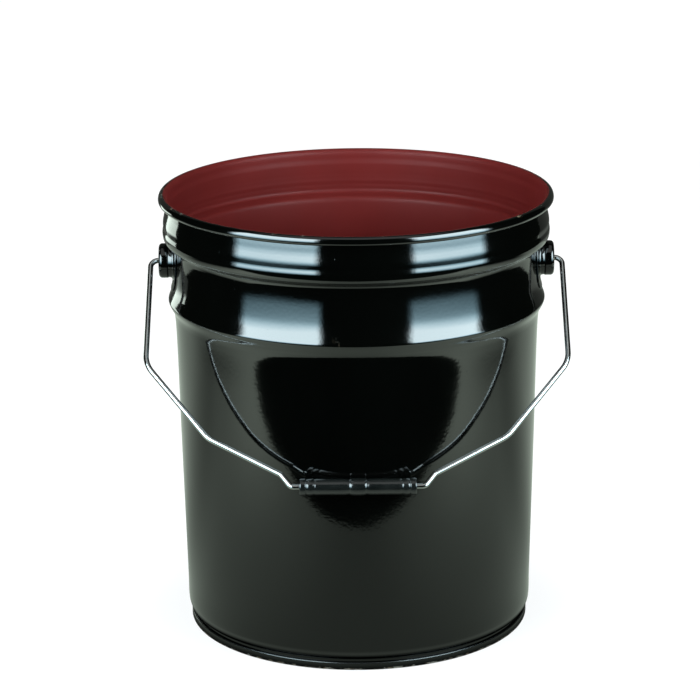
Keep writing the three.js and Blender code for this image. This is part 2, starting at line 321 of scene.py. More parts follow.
# revolve() reverses a clockwise profile, so the outer side's place in it is worked out here
_area = np.sum(body_profile[:, 0] * np.roll(body_profile[:, 1], -1) - np.roll(body_profile[:, 0], -1) * body_profile[:, 1])
if _area < 0:
    body_profile = body_profile[::-1]
    body_profile = np.roll(body_profile, len(outside), axis=0)
OUTER_COUNT = len(outside)
body = revolve("body_shell", body_profile, ANGLES, side_seam)

# ------------------------------------------------------------------ bottom end
PANEL_Z = 10.2
panel = catmull(
    [(2.0, PANEL_Z), (60, PANEL_Z), (97.6, PANEL_Z), (99.6, PANEL_Z - 0.06), (101.0, PANEL_Z - 0.35), (102.6, 9.15), (104.0, 8.86), (106.0, 8.8),
     (121.4, 8.8), (123.4, 8.86), (124.8, 9.25), (125.8, 9.95), (126.8, 10.45), (127.8, 10.35), (128.6, 9.75), (CHUCK_R - 0.05, 8.9), (CHUCK_R, 8.2)],
    0.4,
)
panel = thin(panel, 0.006)
END_LINE = np.vstack([
    panel,
    [(CHUCK_R, 4.0)],
    arc(CHUCK_R + 1.0, 1.0 + H, 1.0, 180, 270, 8),
    arc(SEAM_WALL_R - 1.0, 1.0 + H, 1.0, 270, 360, 8),
    arc((SEAM_WALL_R + END_HOOK_R) / 2, SEAM_H - H - 0.65, 0.65, 0, 180, 12),
    [(END_HOOK_R, 2.3)],
])
end_top, end_under = offset_line(END_LINE, H), offset_line(END_LINE, -H)
end_profile = np.vstack([[(0, PANEL_Z - H)], [(0.0, 0.0)]])
end_profile = np.vstack([[(0, PANEL_Z - H)], end_under, end_top[::-1], [(0, PANEL_Z + H)]])
end = revolve("bottom_end_disc", end_profile, columns(288), axis_ends=True)

compound_ring = revolve(
    "seam_compound_ring",
    [(CHUCK_R + 0.55, 0.62), (SEAM_WALL_R - 0.55, 0.62), (SEAM_WALL_R - 0.5, 0.8), (SEAM_WALL_R - 0.62, 0.98), (CHUCK_R + 0.62, 0.98), (CHUCK_R + 0.5, 0.8)],
    columns(144),
)

# ------------------------------------------------------------------ lining: a thin skin on the steel's inner face
rng = np.random.RandomState(7)
_amp = rng.uniform(-1, 1, 24)
_ph = rng.uniform(0, 2 * math.pi, 24)


def wander(a):
    """A slow, uneven wave round the rim."""
    return sum(_amp[k] * math.sin((k * 3 + 2) * a + _ph[k]) / (1 + 0.35 * k) for k in range(24)) * 0.42


curl_inner = drawn(arc(CX, CZ, CR, 99, 180, 16))
lining_line = np.vstack([np.array(curl_inner[:-1]), wall_smooth])
lining_line = lining_line[lining_line[:, 1] > 10.9]
# the coating fills the fine grooves of the band, so its face runs smoothly down to the ledge
smooth_face = np.interp(lining_line[:, 1], [302.3, 304.2, 306.5, 309, 312, 315, 318, 321, 325, 328.3, 329.6, 331, 334],
                        [0, 0.08, 0.50, 1.22, 1.45, 1.32, 1.60, 1.42, 0.98, 0.85, 0.80, 0, 0])
lining_line[:, 0] -= smooth_face
skin_back, skin_front = offset_line(lining_line, -(H + 0.03)), offset_line(lining_line, -(H + 0.13))
lining_profile = np.vstack([skin_back, skin_front[::-1]])
_area = np.sum(lining_profile[:, 0] * np.roll(lining_profile[:, 1], -1) - np.roll(lining_profile[:, 0], -1) * lining_profile[:, 1])
if _area < 0:
    lining_profile = lining_profile[::-1]


def lining_shape(r, z, a, i):
    if z > HEIGHT - 1.4:  # the coating's edge wanders a little over the top of the curl
        flat = CURL_UP / CR
        t = math.atan2((z - CZ) / flat, r - CX)
        rad = math.hypot((z - CZ) / flat, r - CX)
        share = max(0.0, 1 - (t / DEG - 99) / 26)
        t += wander(a) * 5.0 * DEG * share
        t = max(t, 91 * DEG)
        return CX + rad * math.cos(t), CZ + rad * math.sin(t) * flat
    return r, z


lining = revolve("body_lining_skin", lining_profile, columns(288), lining_shape)

lp = panel[(panel[:, 0] > 1.0) & (panel[:, 0] < 128.3)]
floor_under, floor_top = offset_line(lp, H + 0.03), offset_line(lp, H + 0.13)
bottom_lining = revolve(
    "bottom_lining_skin",
    np.vstack([[(0, PANEL_Z + H + 0.03)], floor_under, floor_top[::-1], [(0, PANEL_Z + H + 0.13)]]),
    columns(288),
    axis_ends=True,
)


# ------------------------------------------------------------------ ears
def ear(name, side):
    N = 176
    T = [2 * math.pi * k / N for k in range(N)]
    hy, z0, z1, c = 25.0, 265.6 - PIVOT_Z, 300.6 - PIVOT_Z, 9.0

    def outline(t):
        """Distance from the pivot to the flange's edge, a rounded rectangle."""
        lo, hi = 0.0, 60.0
        dy, dz = math.cos(t), math.sin(t)
        for _ in range(26):
            m = (lo + hi) / 2
            y, z = dy * m, dz * m
            zc, hz = (z0 + z1) / 2, (z1 - z0) / 2
            qy, qz = abs(y) - (hy - c), abs(z - zc) - (hz - c)
            d = math.hypot(max(qy, 0), max(qz, 0)) + min(max(qy, qz), 0) - c
            if d < 0:
                lo = m
            else:
                hi = m
        return lo

    welds = [(-19.4, -9.5), (19.4, -9.5), (-19.4, 6.5), (19.4, 6.5)]

    def wall_x(y, z, lift):
        r = outer_r(z + PIVOT_Z) + lift
        return math.sqrt(max(r * r - y * y, 1.0))

    def dimple(y, z):
        d = 0.0
        for wy, wz in welds:
            q = math.hypot(y - wy, z - wz)
            if q < 2.9:
                d += 0.34 * (0.5 + 0.5 * math.cos(math.pi * min(1.0, q / 2.9))) - 0.10 * math.exp(-((q - 2.9) / 0.5) ** 2)
        return d

    out = [outline(t) for t in T]
    rings = []  # each ring: list of (x, y, z)

    def flat_ring(rho, x):
        rings.append([(x, rho * math.cos(t), rho * math.sin(t)) for t in T])

    # front of the cup, from the hole outwards
    flat_ring(EAR_HOLE_R, CUP_FACE_X - 0.32)
    flat_ring(EAR_HOLE_R + 0.1, CUP_FACE_X - 0.1)
    flat_ring(EAR_HOLE_R + 0.35, CUP_FACE_X)
    for rho in (3.4, 4.4, 5.6, 7.2, 8.6, 9.4):
        flat_ring(rho, CUP_FACE_X - (0.0 if rho < 8.8 else 0.05))
    for r_, x_ in arc(CUP_R - 2.6, CUP_FACE_X - 2.65, 2.6, 90, 0, 11):
        flat_ring(r_, x_)
    flat_ring(CUP_R, CUP_FACE_X - 4.6)
    flat_ring(CUP_R, COLLAR_X + 1.1)
    flat_ring(CUP_R - 0.03, COLLAR_X + 0.75)
    flat_ring(CUP_R - 0.2, COLLAR_X + 0.35)
    flat_ring(COLLAR_R - 0.22, COLLAR_X)
    flat_ring(COLLAR_R - 0.1, COLLAR_X - 0.3)
    flat_ring(COLLAR_R, COLLAR_X - 0.55)
    # root of the cup, rounding out into the flange
    front, back = 0.98, 0.05
    R0 = 1.9
    for k in range(9):
        w = k / 8 * 90 * DEG
        row = []
        for t, po in zip(T, out):
            rho = COLLAR_R + R0 * (1 - math.cos(w))
            rho = min(rho, po - 0.6)
            y, z = rho * math.cos(t), rho * math.sin(t)
            row.append((wall_x(y, z, front) + R0 * (1 - math.sin(w)), y, z))
        rings.append(row)
    M = 16
    for k in range(1, M + 1):
        row = []
        for t, po in zip(T, out):
            start = min(COLLAR_R + R0, po - 0.6)
            rho = start + (po - 0.28 - start) * k / M
            y, z = rho * math.cos(t), rho * math.sin(t)
            row.append((wall_x(y, z, front - dimple(y, z)), y, z))
        rings.append(row)
    for lift, inset in ((front - 0.09, 0.08), (front - 0.32, 0.0), (back + 0.22, 0.0), (back, 0.1)):
        row = []
        for t, po in zip(T, out):
            rho = po - inset
            y, z = rho * math.cos(t), rho * math.sin(t)
            row.append((wall_x(y, z, lift), y, z))
        rings.append(row)
    # the back of the flange, and the inside of the cup
    for k in range(1, 7):
        row = []
        for t, po in zip(T, out):
            stop = COLLAR_R - CUP_WALL + 0.9
            rho = po - 0.1 + (stop - po + 0.1) * k / 6
            y, z = rho * math.cos(t), rho * math.sin(t)
            row.append((wall_x(y, z, back), y, z))
        rings.append(row)
    row = []
    for t in T:
        rho = COLLAR_R - CUP_WALL
        y, z = rho * math.cos(t), rho * math.sin(t)
        row.append((wall_x(y, z, back) + 0.9, y, z))
    rings.append(row)
    flat_ring(COLLAR_R - CUP_WALL, COLLAR_X)
    flat_ring(COLLAR_R - CUP_WALL, CUP_FACE_X - 2.65)
    for r_, x_ in arc(COLLAR_R - CUP_WALL - 1.6, CUP_FACE_X - 2.55, 1.6, 0, 90, 6)[1:]:
        flat_ring(r_, x_)
    flat_ring(6.0, CUP_FACE_X - CUP_WALL)
    flat_ring(EAR_HOLE_R, CUP_FACE_X - CUP_WALL)
    verts, faces = [], []
    for row in rings:
        for x, y, z in row:
            verts.append((x, y, z + PIVOT_Z) if side > 0 else (-x, -y, z + PIVOT_Z))
    m = len(rings)
    for i in range(m):
        for k in range(N):
            q = (k + 1) % N
            a, b = i * N, ((i + 1) % m) * N
            faces.append((a + k, b + k, b + q, a + q))
    return add_mesh(name, verts, faces)


ear_right = ear("ear_right", 1)
ear_left = ear("ear_left", -1)

# ------------------------------------------------------------------ bail wire
CORNERS = [
    ((HEAD_X - HEAD_T, 0), 0), ((157.6, 0), 6), ((ARM_X, 92.2), 24), ((111.3, 156.3), 24),
    ((56.6, 187.6), 4.5), ((49.3, BAIL_LENGTH), 4.5), ((0, BAIL_LENGTH), 0),
]


def bail_path():
    half = []
    for i, (p, r) in enumerate(CORNERS):
        p = np.array(p, float)
        if not r:
            half.append(p)
            continue
        a, b = np.array(CORNERS[i - 1][0], float), np.array(CORNERS[i + 1][0], float)
        u, v = (a - p) / np.linalg.norm(a - p), (b - p) / np.linalg.norm(b - p)
        turn = math.pi - math.acos(float(np.clip(u @ v, -1, 1)))
        t = r * math.tan(turn / 2)
        p0, p1 = p + u * t, p + v * t
        mid = (p0 + p1) / 2 - p
        c = p + mid / np.linalg.norm(mid) * r / math.cos(turn / 2)
        a0 = math.atan2(*(p0 - c)[::-1])
        da = math.atan2(*(p1 - c)[::-1]) - a0
        da = (da + math.pi) % (2 * math.pi) - math.pi
        n = max(6, int(abs(da) / 0.07))
        for k in range(n + 1):
            w = a0 + da * k / n
            half.append(c + r * np.array([math.cos(w), math.sin(w)]))
    dense = []
    for a, b in zip(half[:-1], half[1:]):
        n = max(1, int(np.ceil(np.linalg.norm(b - a) / 6.0)))
        dense += [a + (b - a) * k / n for k in range(n)]
    other = [np.array([-x, s]) for x, s in dense[::-1]]
    return dense + [half[-1]] + other


def in_plane(x, s):
    return np.array([x, -s * math.sin(REST), PIVOT_Z - s * math.cos(REST)])


def bail():
    path = bail_path()
    N = 28
    rings = []
    normal = np.array([0, -math.cos(REST), math.sin(REST)])  # square to the bail's plane
    # the upset head: rings of their own radius at each end, on the pivot axis
    head = [(HEAD_X - HEAD_T, 3.4), (HEAD_X - HEAD_T + 0.12, 3.9), (HEAD_X - HEAD_T + 0.5, HEAD_R), (HEAD_X - 0.7, HEAD_R),
            (HEAD_X - 0.25, HEAD_R - 0.25), (HEAD_X - 0.02, 3.6), (HEAD_X, 2.75), (HEAD_X + 0.25, 2.3), (HEAD_X + 0.7, WIRE_R)]

    def ring(c, t, r):
        t = t / np.linalg.norm(t)
        n2 = np.cross(t, normal)
        n2 /= np.linalg.norm(n2)
        rings.append([c + r * (math.cos(w) * normal + math.sin(w) * n2) for w in (2 * math.pi * k / N for k in range(N))])

    for x, r in head:
        ring(in_plane(x, 0), np.array([1.0, 0, 0]), r)
    P = [in_plane(*p) for p in path]
    for i in range(1, len(P) - 1):
        if abs(path[i][0]) < HEAD_X + 1.0 and abs(path[i][1]) < 0.01:
            continue
        t = (P[i] - P[i - 1]) / np.linalg.norm(P[i] - P[i - 1]) + (P[i + 1] - P[i]) / np.linalg.norm(P[i + 1] - P[i])
        ring(P[i], t, WIRE_R)
    for x, r in head[::-1]:
        ring(in_plane(-x, 0), np.array([1.0, 0, 0]), r)
    # the tangent is +X at both ends, so turn no ring over on the way
    verts, faces = [], []
    fixed = []
    prev = None
    for row in rings:
        row = np.array(row)
        if prev is not None:
            best = min(((np.sum((np.roll(cand, s, axis=0) - prev) ** 2), s, flip)
                        for flip, cand in ((0, row), (1, row[::-1])) for s in range(N)), key=lambda q: q[0])
            row = np.roll(row[::-1] if best[2] else row, best[1], axis=0)
        fixed.append(row)
        prev = row
    for row in fixed:
        verts += [tuple(p) for p in row]
    m = len(fixed)
    for i in range(m - 1):
        for k in range(N):
            q = (k + 1) % N
            faces.append((i * N + k, i * N + q, (i + 1) * N + q, (i + 1) * N + k))
    for base, sgn in ((0, 1), ((m - 1) * N, -1)):
        c = len(verts)
        verts.append(tuple(np.mean(fixed[0 if sgn > 0 else -1], axis=0)))
        for k in range(N):
            q = (k + 1) % N
            faces.append((base + q, base + k, c) if sgn > 0 else (base + k, base + q, c))
    ob = add_mesh("bail_rod", verts, faces)
    import bmesh
    bm = bmesh.new()
    bm.from_mesh(ob.data)
    bmesh.ops.recalc_face_normals(bm, faces=bm.faces)
    bm.to_mesh(ob.data)
    bm.free()
    return ob


rod = bail()


# ------------------------------------------------------------------ grip
def grip():
    L = GRIP_LENGTH / 2
    half = [(6.40, 0.0), (6.39, 1.6), (6.34, 3.0), (6.24, 4.2), (6.06, 5.2), (5.86, 5.8), (5.66, 6.15), (5.55, 6.45), (5.60, 6.9), (5.80, 7.7),
            (5.94, 8.8), (6.0, 10.5), (5.97, 15.0), (5.90, 21.0), (5.90, 26.0), (5.95, 29.8), (5.93, 31.0), (5.80, 31.7), (5.68, 32.2), (5.72, 32.6), (5.92, 33.1),
            (6.08, 34.0), (6.12, 35.2), (6.06, 36.4), (5.90, 37.3), (5.70, 37.9), (5.62, 38.15), (5.75, 38.35), (6.1, 38.55),
            (6.28, 38.8), (6.35, 39.2), (6.35, 42.0), (6.30, 42.45), (6.12, 42.85), (5.85, 43.08), (5.5, L), (3.4, L), (3.1, L - 0.15), (2.75, L - 0.6), (GRIP_BORE_R, L - 1.3)]
    prof = [(r, -x) for r, x in half[::-1]] + half[1:]
    N = 96
    verts, faces = [], []
    c = in_plane(0, BAIL_LENGTH)
    for i, (r, x) in enumerate(prof):
        for k in range(N):
            w = 2 * math.pi * k / N
            # parting line of the mould: a fine raised line on each side
            d = min(abs(math.remainder(w - 62 * DEG, math.pi)), 9) * max(r, 0.1)
            rr = r + (0.07 * max(0.0, 1 - d / 0.5) if r > 5.6 else 0.0)
            rr = min(rr, 6.42)
            verts.append((x, c[1] + rr * math.cos(w), c[2] + rr * math.sin(w)))
    m = len(prof)
    for i in range(m):
        for k in range(N):
            q = (k + 1) % N
            a, b = i * N, ((i + 1) % m) * N
            faces.append((a + k, b + k, b + q, a + q))
    ob = add_mesh("bail_grip_sleeve", verts, faces)
    import bmesh
    bm = bmesh.new()
    bm.from_mesh(ob.data)
    bmesh.ops.recalc_face_normals(bm, faces=bm.faces)
    bm.to_mesh(ob.data)
    bm.free()
    return ob


sleeve = grip()


# ------------------------------------------------------------------ materials
class Nodes:
    def __init__(self, name):
        self.mat = bpy.data.materials.new(name)
        self.mat.use_nodes = True
        self.t = self.mat.node_tree
        self.t.nodes.clear()
        self.out = self.t.nodes.new("ShaderNodeOutputMaterial")
        self.bsdf = self.t.nodes.new("ShaderNodeBsdfPrincipled")
        self.t.links.new(self.bsdf.outputs[0], self.out.inputs[0])
        self.coord = self.t.nodes.new("ShaderNodeTexCoord").outputs["Object"]

    def set(self, **kw):
        for k, v in kw.items():
            self.bsdf.inputs[k.replace("_", " ")].default_value = v

    def link(self, a, b):
        self.t.links.new(a, b)

    def noise(self, scale, detail=4.0, rough=0.5, vec=None, distortion=0.0):
        n = self.t.nodes.new("ShaderNodeTexNoise")
        n.inputs["Scale"].default_value = scale
        n.inputs["Detail"].default_value = detail
        n.inputs["Roughness"].default_value = rough
        n.inputs["Distortion"].default_value = distortion
        self.link(vec or self.coord, n.inputs["Vector"])
        return n.outputs["Fac"]

    def voronoi(self, scale, feature="F1", vec=None, out="Distance"):
        n = self.t.nodes.new("ShaderNodeTexVoronoi")
        n.feature = feature
        n.inputs["Scale"].default_value = scale
        self.link(vec or self.coord, n.inputs["Vector"])
        return n.outputs[out]

    def mapping(self, scale=(1, 1, 1), vec=None):
        n = self.t.nodes.new("ShaderNodeMapping")
        n.inputs["Scale"].default_value = scale
        self.link(vec or self.coord, n.inputs["Vector"])
        return n.outputs[0]

    def ramp(self, fac, stops):
        n = self.t.nodes.new("ShaderNodeValToRGB")
        e = n.color_ramp.elements
        while len(e) < len(stops):
            e.new(0.5)
        for el, (p, c) in zip(e, stops):
            el.position = p
            el.color = (c, c, c, 1) if isinstance(c, (int, float)) else (*c, 1)
        self.link(fac, n.inputs[0])
        return n.outputs[0]

    def math(self, op, a, b=None, clamp=False):
        n = self.t.nodes.new("ShaderNodeMath")
        n.operation = op
        n.use_clamp = clamp
        for s, v in zip(n.inputs, (a, b)):
            if v is None:
                continue
            if isinstance(v, (int, float)):
                s.default_value = v
            else:
                self.link(v, s)
        return n.outputs[0]

    def mix(self, fac, a, b):
        n = self.t.nodes.new("ShaderNodeMix")
        n.data_type = "RGBA"
        for s, v in ((n.inputs[0], fac), (n.inputs[6], a), (n.inputs[7], b)):
            if isinstance(v, (int, float)):
                s.default_value = v
            elif isinstance(v, tuple):
                s.default_value = (*v, 1)
            else:
                self.link(v, s)
        return n.outputs[2]

    def bump(self, height, strength, distance, normal=None):
        n = self.t.nodes.new("ShaderNodeBump")
        n.inputs["Strength"].default_value = strength
        n.inputs["Distance"].default_value = distance
        self.link(height, n.inputs["Height"])
        if normal is not None:
            self.link(normal, n.inputs["Normal"])
        return n.outputs[0]

    def separate(self, vec=None):
        n = self.t.nodes.new("ShaderNodeSeparateXYZ")
        self.link(vec or self.coord, n.inputs[0])
        return n.outputs

    def radius(self):
        x, y, _ = self.separate()
        return self.math("SQRT", self.math("ADD", self.math("MULTIPLY", x, x), self.math("MULTIPLY", y, y)))


def band(m, value, low, high, soft):
    """1 where value lies between low and high, fading over soft."""
    up = m.t.nodes.new("ShaderNodeMapRange")
    up.inputs["From Min"].default_value = low - soft
    up.inputs["From Max"].default_value = low + soft
    m.link(value, up.inputs["Value"])
    dn = m.t.nodes.new("ShaderNodeMapRange")
    dn.inputs["From Min"].default_value = high - soft
    dn.inputs["From Max"].default_value = high + soft
    dn.inputs["To Min"].default_value = 1.0
    dn.inputs["To Max"].default_value = 0.0
    m.link(value, dn.inputs["Value"])
    return m.math("MULTIPLY", up.outputs[0], dn.outputs[0])


def enamel(name, kind):
    """Stoved gloss black on steel: orange peel, faint smears, dust nibs and worn edges."""
    m = Nodes(name)
    m.set(IOR=1.5)
    z = m.separate()[2]
    peel = m.noise(420, 2.0, 0.45)
    wave = m.noise(16, 2.0, 0.5)
    smear = m.noise(9, 5.0, 0.62, m.mapping((1, 1, 0.35)))
    nib = m.ramp(m.voronoi(150), [(0.0, 1.0), (0.055, 0.0)])
    nib = m.math("MULTIPLY", nib, m.ramp(m.noise(37, 2), [(0.56, 0.0), (0.64, 1.0)]))
    hair = m.noise(26, 8.0, 0.7, m.mapping((1.0, 1.0, 14.0)))
    hair = m.ramp(hair, [(0.655, 0.0), (0.70, 1.0)])
    chip_noise = m.noise(230, 6.0, 0.65)
    if kind == "end":
        foot = band(m, z, -0.001, 0.0012, 0.0008)
        worn = m.math("MULTIPLY", foot, m.ramp(chip_noise, [(0.50, 0.0), (0.60, 0.8)]))
        top = m.math("MULTIPLY", band(m, z, 0.0052, 0.0068, 0.0004), m.ramp(chip_noise, [(0.70, 0.0), (0.78, 0.5)]))
        worn = m.math("MAXIMUM", worn, top)
    elif kind == "ear":
        x = m.math("ABSOLUTE", m.separate()[0])
        edge = band(m, x, 0.1505, 0.153, 0.0004)
        worn = m.math("MULTIPLY", edge, m.ramp(chip_noise, [(0.60, 0.0), (0.67, 1.0)]))
    else:
        rim = band(m, z, 0.3393, 0.342, 0.0003)
        worn = m.math("MULTIPLY", rim, m.ramp(m.noise(70, 8.0, 0.7), [(0.60, 0.0), (0.66, 0.8)]))
        scuff = m.math("MULTIPLY", band(m, z, 0.2565, 0.2625, 0.0016), m.ramp(m.noise(60, 7.0, 0.7, m.mapping((1, 1, 0.15))), [(0.66, 0.0), (0.74, 0.5)]))
        worn = m.math("MAXIMUM", worn, m.math("MULTIPLY", scuff, 0.35))
    black = m.mix(m.ramp(smear, [(0.35, 0.0), (0.75, 1.0)]), (0.00018, 0.00022, 0.00018), (0.00042, 0.00050, 0.00040))
    metal = m.mix(m.ramp(m.noise(300, 3), [(0.4, 0.0), (0.6, 1.0)]), (0.16, 0.105, 0.06), (0.34, 0.31, 0.26))
    m.link(m.mix(worn, black, metal), m.bsdf.inputs["Base Color"])
    rough = m.math("ADD", m.math("MULTIPLY", m.ramp(smear, [(0.3, 0.0), (0.8, 1.0)]), 0.05), 0.045)
    rough = m.math("ADD", rough, m.math("MULTIPLY", hair, 0.05))
    if kind == "end":
        rough = m.math("ADD", rough, 0.20)
    rough = m.math("ADD", rough, m.math("MULTIPLY", worn, 0.4), clamp=True)
    m.link(rough, m.bsdf.inputs["Roughness"])
    m.link(m.math("MULTIPLY", worn, 0.7), m.bsdf.inputs["Metallic"])
    # painted reflection: faces turned downwards reflect more strongly (on the ears a little less), brightening the
    # undersides of beads and seams beyond what the lamps give
    geo = m.t.nodes.new("ShaderNodeNewGeometry")
    down = m.t.nodes.new("ShaderNodeMapRange")
    for k, v in (("From Min", -0.10), ("From Max", -0.30), ("To Min", 0.5), ("To Max", 0.45 if kind == "ear" else 1.0)):
        down.inputs[k].default_value = v
    m.link(m.separate(geo.outputs["True Normal"])[2], down.inputs["Value"])
    m.link(down.outputs[0], m.bsdf.inputs["Specular IOR Level"])
    n = m.bump(wave, 0.5, 0.00045)
    n = m.bump(peel, 0.35, 0.00006, n)
    n = m.bump(nib, 0.6, 0.00015, n)
    n = m.bump(m.math("MULTIPLY", worn, -1.0), 0.5, 0.00008, n)
    m.link(n, m.bsdf.inputs["Normal"])
    return m.mat


def coating(name, floor=False):
    """Rust-red baked lining: satin, slightly uneven in thickness, with spray texture and run marks."""
    m = Nodes(name)
    m.set(IOR=1.5, Specular_IOR_Level=0.10)
    cloud = m.noise(11, 4.0, 0.55)
    spray = m.noise(700, 3.0, 0.6)
    runs = m.noise(30, 5.0, 0.6, m.mapping((1, 1, 0.08)) if not floor else None)
    speck = m.ramp(m.voronoi(240), [(0.0, 1.0), (0.05, 0.0)])
    speck = m.math("MULTIPLY", speck, m.ramp(m.noise(55, 2), [(0.58, 0.0), (0.66, 1.0)]))
    red = m.mix(m.ramp(cloud, [(0.3, 0.0), (0.7, 1.0)]), (0.064, 0.0056, 0.0050), (0.079, 0.0072, 0.0063))
    red = m.mix(m.math("MULTIPLY", m.ramp(runs, [(0.45, 0.0), (0.75, 1.0)]), 0.35), red, (0.064, 0.0066, 0.0058))
    red = m.mix(m.math("MULTIPLY", speck, 0.6), red, (0.030, 0.0034, 0.0032))
    m.link(red, m.bsdf.inputs["Base Color"])
    rough = m.math("ADD", m.math("MULTIPLY", m.ramp(cloud, [(0.3, 0.0), (0.75, 1.0)]), 0.10), 0.40)
    m.link(m.math("ADD", rough, m.math("MULTIPLY", m.ramp(runs, [(0.4, 0.0), (0.7, 1.0)]), 0.06)), m.bsdf.inputs["Roughness"])
    n = m.bump(m.noise(20, 2), 0.4, 0.0004)
    n = m.bump(spray, 0.35, 0.00007, n)
    n = m.bump(speck, 0.5, 0.00012, n)
    m.link(n, m.bsdf.inputs["Normal"])
    return m.mat


def zinc(name):
    """Bright drawn wire with a zinc coat: fine draw lines along it, small dull patches."""
    m = Nodes(name)
    m.set(Metallic=1.0)
    patch = m.noise(75, 5.0, 0.6)
    fine = m.noise(240, 4.0, 0.6)
    pits = m.ramp(m.voronoi(620), [(0.0, 1.0), (0.12, 0.0)])
    pits = m.math("MULTIPLY", pits, m.ramp(m.noise(120, 3), [(0.5, 0.0), (0.62, 1.0)]))
    col = m.mix(m.ramp(patch, [(0.32, 0.0), (0.7, 1.0)]), (0.30, 0.31, 0.31), (0.46, 0.47, 0.465))
    col = m.mix(m.math("MULTIPLY", pits, 0.5), col, (0.16, 0.16, 0.155))
    m.link(col, m.bsdf.inputs["Base Color"])
    m.link(m.math("ADD", m.math("MULTIPLY", m.ramp(patch, [(0.3, 0.0), (0.7, 1.0)]), -0.06), 0.14), m.bsdf.inputs["Roughness"])
    n = m.bump(fine, 0.12, 0.00003)
    n = m.bump(pits, -0.4, 0.00003, n)
    m.link(n, m.bsdf.inputs["Normal"])
    return m.mat


def moulded(name):
    """Black moulded plastic, satin, handled: cloudy in tone, with flow marks in its roughness and a fine grain; faces
    turned downwards get a painted reflection.
    """
    m = Nodes(name)
    m.set(IOR=1.49)
    grain = m.noise(850, 3.0, 0.6)
    cloud = m.noise(60, 5.0, 0.6)
    flow = m.noise(120, 4.0, 0.6, m.mapping((0.2, 1, 1)))
    col = m.mix(m.ramp(cloud, [(0.35, 0.0), (0.75, 1.0)]), (0.0016, 0.0019, 0.0018), (0.0040, 0.0044, 0.0040))
    m.link(col, m.bsdf.inputs["Base Color"])
    m.link(m.math("ADD", m.math("MULTIPLY", m.ramp(flow, [(0.3, 0.0), (0.75, 1.0)]), 0.10), 0.13), m.bsdf.inputs["Roughness"])
    # painted reflection: faces turned downwards reflect more strongly, brightening the underside of the grip beyond
    # what the lamps give
    geo = m.t.nodes.new("ShaderNodeNewGeometry")
    down = m.t.nodes.new("ShaderNodeMapRange")
    for k, v in (("From Min", -0.10), ("From Max", -0.35), ("To Min", 0.5), ("To Max", 1.0)):
        down.inputs[k].default_value = v
    m.link(m.separate(geo.outputs["True Normal"])[2], down.inputs["Value"])
    m.link(down.outputs[0], m.bsdf.inputs["Specular IOR Level"])
    n = m.bump(grain, 0.3, 0.00004)
    n = m.bump(flow, 0.2, 0.00006, n)
    m.link(n, m.bsdf.inputs["Normal"])
    return m.mat


def cured(name):
    m = Nodes(name)
    c = m.noise(300, 4.0, 0.6)
    m.link(m.mix(c, (0.07, 0.066, 0.058), (0.13, 0.122, 0.108)), m.bsdf.inputs["Base Color"])
    m.link(m.math("ADD", m.math("MULTIPLY", c, 0.2), 0.6), m.bsdf.inputs["Roughness"])
    m.link(m.bump(c, 0.4, 0.00008), m.bsdf.inputs["Normal"])
    return m.mat


def give(ob, mat, slot, body_name, *nodes):
    ob.data.materials.append(mat)
    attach(ob, body_name)
    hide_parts(*nodes)


give(body, enamel("body_enamel_gloss", "body"), "body_enamel", "pail", "pail_body")
give(end, enamel("end_enamel_gloss", "end"), "end_enamel", "pail", "bottom_end")
give(compound_ring, cured("compound_cured"), "compound", "pail", "seam_compound")
give(lining, coating("lining_baked"), "body_lining", "pail", "body_lining")
give(bottom_lining, coating("bottom_lining_baked", True), "bottom_lining", "pail", "bottom_lining")
ear_mat = enamel("ear_enamel_gloss", "ear")
give(ear_right, ear_mat, "ear_enamel", "pail", "right_ear")
give(ear_left, ear_mat, "ear_enamel", "pail", "left_ear")
give(rod, zinc("zinc_wire"), "galvanised", "bail", "bail_wire")
give(sleeve, moulded("grip_plastic"), "moulded", "grip", "bail_grip")


# ------------------------------------------------------------------ studio
def plane(name, size, matrix, mat):
    me = bpy.data.meshes.new(name)
    x, y = size[0] / 2, size[1] / 2
    me.from_pydata([(-x, -y, 0), (x, -y, 0), (x, y, 0), (-x, y, 0)], [], [(0, 1, 2, 3)])
    me.materials.append(mat)
    ob = bpy.data.objects.new(name, me)
    ob.matrix_world = matrix
    bpy.context.scene.collection.objects.link(ob)
    return ob


class Glow:
    """A light-giving surface whose strength varies over it; positions are in metres, in the shared frame."""

    def __init__(self, name, tint):
        self.mat = bpy.data.materials.new(name)
        self.mat.use_nodes = True
        self.t = self.mat.node_tree
        self.t.nodes.clear()
        self.out = self.t.nodes.new("ShaderNodeOutputMaterial")
        self.e = self.t.nodes.new("ShaderNodeEmission")
        self.e.inputs[0].default_value = (*tint, 1)
        self.t.links.new(self.e.outputs[0], self.out.inputs[0])
        sep = self.t.nodes.new("ShaderNodeSeparateXYZ")
        self.t.links.new(self.t.nodes.new("ShaderNodeTexCoord").outputs["Object"], sep.inputs[0])
        self.x, self.y, self.z = sep.outputs

    def step(self, value, a, b, lo=0.0, hi=1.0):
        n = self.t.nodes.new("ShaderNodeMapRange")
        n.interpolation_type = "SMOOTHSTEP"
        for k, v in (("From Min", a), ("From Max", b), ("To Min", lo), ("To Max", hi)):
            n.inputs[k].default_value = v
        self.t.links.new(value, n.inputs["Value"])
        return n.outputs[0]

    def math(self, op, a, b=None):
        n = self.t.nodes.new("ShaderNodeMath")
        n.operation = op
        for s, v in zip(n.inputs, (a, b)):
            if isinstance(v, (int, float)):
                s.default_value = v
            elif v is not None:
                self.t.links.new(v, s)
        return n.outputs[0]

    def strength(self, v):
        self.t.links.new(v, self.e.inputs[1])
        return self.mat


def card(name, corners, mat, **seen):
    """A four-cornered surface in the studio; its object coordinates are the frame's."""
    me = bpy.data.meshes.new(name)
    me.from_pydata(corners, [], [tuple(range(len(corners)))])
    me.materials.append(mat)
    ob = bpy.data.objects.new(name, me)
    bpy.context.scene.collection.objects.link(ob)
    for k in ("camera", "diffuse", "glossy", "shadow"):
        setattr(ob, "visible_" + k, seen.get(k, False))
    return ob


